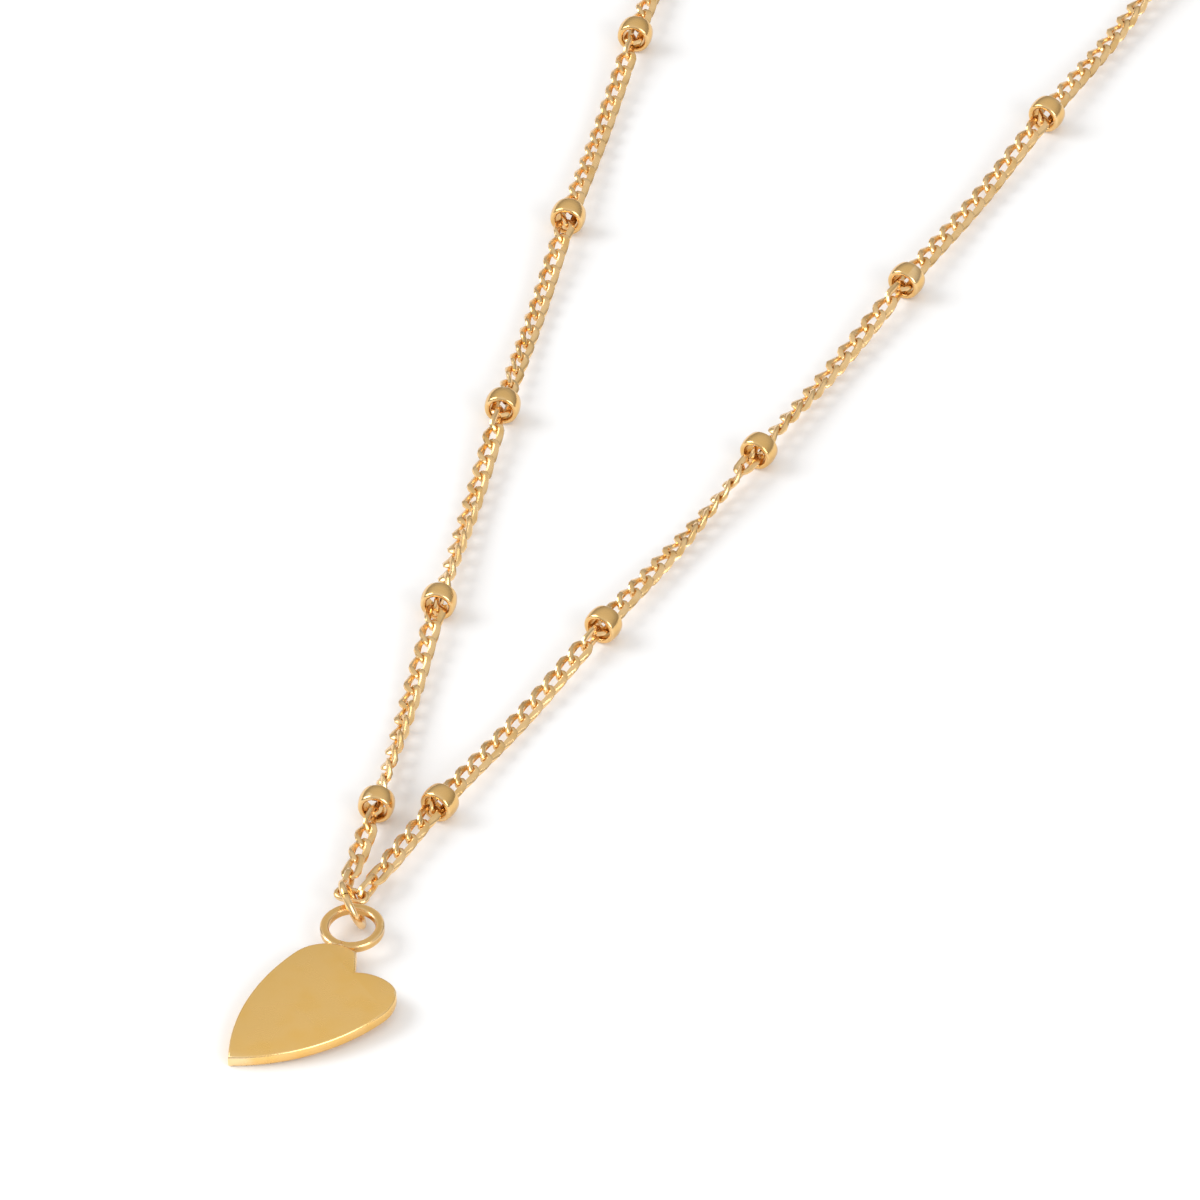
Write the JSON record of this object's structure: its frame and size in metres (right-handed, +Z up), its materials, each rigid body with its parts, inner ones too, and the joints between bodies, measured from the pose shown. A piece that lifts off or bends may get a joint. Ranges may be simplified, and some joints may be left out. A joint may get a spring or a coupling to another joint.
{
  "type": "pendant necklace",
  "caption": "Fine satellite chain with small barrel beads and a flat satin heart pendant, lobster clasp and extension chain, laid out open.",
  "frame": {"origin": "middle of the chain's centre link, on the chain's axis, where the jump ring hangs", "axes": "+Y along the middle of the V of chain towards the clasp, +Z up from the table it lies on, +X to the extension side"},
  "size_m": [0.0936, 0.2531, 0.0032],
  "materials": {
    "chain_gold": "polished",
    "bead_gold": "polished",
    "ring_gold": "polished",
    "heart_gold": "satin",
    "clasp_gold": "polished",
    "steel": "satin"
  },
  "bodies": {
    "chain_centre": {"centre_link": "chain_gold", "centre_run_left": "chain_gold", "centre_run_right": "chain_gold"},
    "jump_ring": {"jump_ring": "ring_gold"},
    "heart": {"heart_plate": "heart_gold", "heart_ring": "ring_gold", "heart_weld": "heart_gold"},
    "left_01": {"left_bead_01": "bead_gold", "left_run_01": "chain_gold"},
    "left_02": {"left_bead_02": "bead_gold", "left_run_02": "chain_gold"},
    "left_03": {"left_bead_03": "bead_gold"},
    "left_03_run": {"left_run_03": "chain_gold"},
    "left_04": {"left_bead_04": "bead_gold", "left_run_04": "chain_gold"},
    "left_05": {"left_bead_05": "bead_gold", "left_run_05": "chain_gold"},
    "left_06": {"left_bead_06": "bead_gold", "left_run_06": "chain_gold"},
    "left_07": {"left_bead_07": "bead_gold", "left_run_07": "chain_gold"},
    "left_08": {"left_bead_08": "bead_gold", "left_run_08": "chain_gold"},
    "left_09": {"left_bead_09": "bead_gold", "left_run_09": "chain_gold"},
    "left_10": {"left_bead_10": "bead_gold", "end_run_left": "chain_gold", "clasp_ring": "ring_gold"},
    "right_01": {"right_bead_01": "bead_gold", "right_run_01": "chain_gold"},
    "right_02": {"right_bead_02": "bead_gold", "right_run_02": "chain_gold"},
    "right_03": {"right_bead_03": "bead_gold"},
    "right_03_run": {"right_run_03": "chain_gold"},
    "right_04": {"right_bead_04": "bead_gold", "right_run_04": "chain_gold"},
    "right_05": {"right_bead_05": "bead_gold", "right_run_05": "chain_gold"},
    "right_06": {"right_bead_06": "bead_gold", "right_run_06": "chain_gold"},
    "right_07": {"right_bead_07": "bead_gold", "right_run_07": "chain_gold"},
    "right_08": {"right_bead_08": "bead_gold", "right_run_08": "chain_gold"},
    "right_09": {"right_bead_09": "bead_gold", "right_run_09": "chain_gold"},
    "right_10": {"right_bead_10": "bead_gold", "end_run_right": "chain_gold", "connector_ring": "ring_gold"},
    "clasp": {"clasp_body": "clasp_gold", "clasp_pin": "steel", "clasp_spring": "steel"},
    "lever": {"clasp_lever": "clasp_gold"},
    "extension": {"extension_ring": "ring_gold", "extension_chain_inner": "chain_gold"},
    "extension_outer": {"extension_chain_outer": "chain_gold", "drop_ring": "ring_gold"},
    "drop": {"extension_drop": "bead_gold"}
  },
  "joints": [
    {"name": "left_01_yaw", "type": "hinge", "parent": "chain_centre", "child": "left_01", "pos_m": [-0.00161, 0.00807, 0], "axis": [0, 0, 1], "range_deg": [-12, 40]},
    {"name": "left_02_yaw", "type": "hinge", "parent": "left_01", "child": "left_02", "pos_m": [-0.00502, 0.02736, 0], "axis": [0, 0, -1], "range_deg": [-40, 13]},
    {"name": "left_03_yaw", "type": "hinge", "parent": "left_02", "child": "left_03", "pos_m": [-0.00832, 0.0475, -0.00002], "axis": [0, 0, 1], "range_deg": [-15, 40]},
    {"name": "lift_left", "type": "hinge", "parent": "left_03", "child": "left_03_run", "pos_m": [-0.00855, 0.04903, 0], "axis": [0.9888, 0.1495, 0], "range_deg": [0, 40]},
    {"name": "left_04_yaw", "type": "hinge", "parent": "left_03_run", "child": "left_04", "pos_m": [-0.01125, 0.06688, 0], "axis": [0, 0, -1], "range_deg": [-40, 17]},
    {"name": "left_05_yaw", "type": "hinge", "parent": "left_04", "child": "left_05", "pos_m": [-0.01406, 0.08709, -0.00002], "axis": [0, 0, 1], "range_deg": [-20, 40]},
    {"name": "left_06_yaw", "type": "hinge", "parent": "left_05", "child": "left_06", "pos_m": [-0.01651, 0.10653, 0], "axis": [0, 0, -1], "range_deg": [-40, 25]},
    {"name": "left_07_yaw", "type": "hinge", "parent": "left_06", "child": "left_07", "pos_m": [-0.01882, 0.12681, -0.00002], "axis": [0, 0, 1], "range_deg": [-30, 40]},
    {"name": "left_08_yaw", "type": "hinge", "parent": "left_07", "child": "left_08", "pos_m": [-0.0208, 0.1463, 0], "axis": [0, 0, -1], "range_deg": [-40, 40]},
    {"name": "left_09_yaw", "type": "hinge", "parent": "left_08", "child": "left_09", "pos_m": [-0.02262, 0.16662, -0.00002], "axis": [0, 0, 1], "range_deg": [-40, 40]},
    {"name": "left_10_yaw", "type": "hinge", "parent": "left_09", "child": "left_10", "pos_m": [-0.02412, 0.18616, 0], "axis": [0, 0, -1], "range_deg": [-40, 40]},
    {"name": "right_01_yaw", "type": "hinge", "parent": "chain_centre", "child": "right_01", "pos_m": [0.00175, 0.00919, 0], "axis": [0, 0, -1], "range_deg": [-12, 40]},
    {"name": "right_02_yaw", "type": "hinge", "parent": "right_01", "child": "right_02", "pos_m": [0.00529, 0.02929, -0.00002], "axis": [0, 0, 1], "range_deg": [-40, 14]},
    {"name": "right_03_yaw", "type": "hinge", "parent": "right_02", "child": "right_03", "pos_m": [0.00846, 0.04863, 0], "axis": [0, 0, -1], "range_deg": [-15, 40]},
    {"name": "lift_right", "type": "hinge", "parent": "right_03", "child": "right_03_run", "pos_m": [0.00869, 0.05015, -0.00002], "axis": [0.9888, -0.1495, 0], "range_deg": [0, 40]},
    {"name": "right_04_yaw", "type": "hinge", "parent": "right_03_run", "child": "right_04", "pos_m": [0.01151, 0.06881, -0.00002], "axis": [0, 0, 1], "range_deg": [-40, 18]},
    {"name": "right_05_yaw", "type": "hinge", "parent": "right_04", "child": "right_05", "pos_m": [0.0142, 0.08821, 0], "axis": [0, 0, -1], "range_deg": [-20, 40]},
    {"name": "right_06_yaw", "type": "hinge", "parent": "right_05", "child": "right_06", "pos_m": [0.01676, 0.10846, -0.00002], "axis": [0, 0, 1], "range_deg": [-40, 25]},
    {"name": "right_07_yaw", "type": "hinge", "parent": "right_06", "child": "right_07", "pos_m": [0.01898, 0.12792, 0], "axis": [0, 0, -1], "range_deg": [-35, 40]},
    {"name": "right_08_yaw", "type": "hinge", "parent": "right_07", "child": "right_08", "pos_m": [0.02104, 0.14823, -0.00002], "axis": [0, 0, 1], "range_deg": [-40, 40]},
    {"name": "right_09_yaw", "type": "hinge", "parent": "right_08", "child": "right_09", "pos_m": [0.02278, 0.16774, 0], "axis": [0, 0, -1], "range_deg": [-40, 40]},
    {"name": "right_10_yaw", "type": "hinge", "parent": "right_09", "child": "right_10", "pos_m": [0.02435, 0.18809, -0.00002], "axis": [0, 0, 1], "range_deg": [-40, 40]},
    {"name": "clasp_swivel", "type": "hinge", "parent": "left_10", "child": "clasp", "pos_m": [-0.02483, 0.19717, 0], "axis": [0, 0, 1], "range_deg": [-80, 80]},
    {"name": "clasp_lever", "type": "hinge", "parent": "clasp", "child": "lever", "pos_m": [-0.02644, 0.20107, 0], "axis": [0, 0, -1], "range_deg": [0, 20], "stiffness_Nm_per_rad": 0.001},
    {"name": "extension_swing", "type": "hinge", "parent": "right_10", "child": "extension", "pos_m": [0.02522, 0.20156, 0], "axis": [0, 0, 1], "range_deg": [-60, 60]},
    {"name": "extension_outer_swing", "type": "hinge", "parent": "extension", "child": "extension_outer", "pos_m": [0.04145, 0.2209, 0], "axis": [0, 0, -1], "range_deg": [-60, 60]},
    {"name": "drop_swivel", "type": "hinge", "parent": "extension_outer", "child": "drop", "pos_m": [0.06243, 0.23401, 0], "axis": [0, 0, 1], "range_deg": [-80, 80]},
    {"name": "jump_ring_swing", "type": "hinge", "parent": "chain_centre", "child": "jump_ring", "pos_m": [0, 0, 0], "axis": [0, 1, 0], "range_deg": [0, 25]},
    {"name": "heart_swing", "type": "hinge", "parent": "jump_ring", "child": "heart", "pos_m": [0.00117, -0.0025, 0.00078], "axis": [0, 0, 1], "range_deg": [-60, 60]}
  ]
}
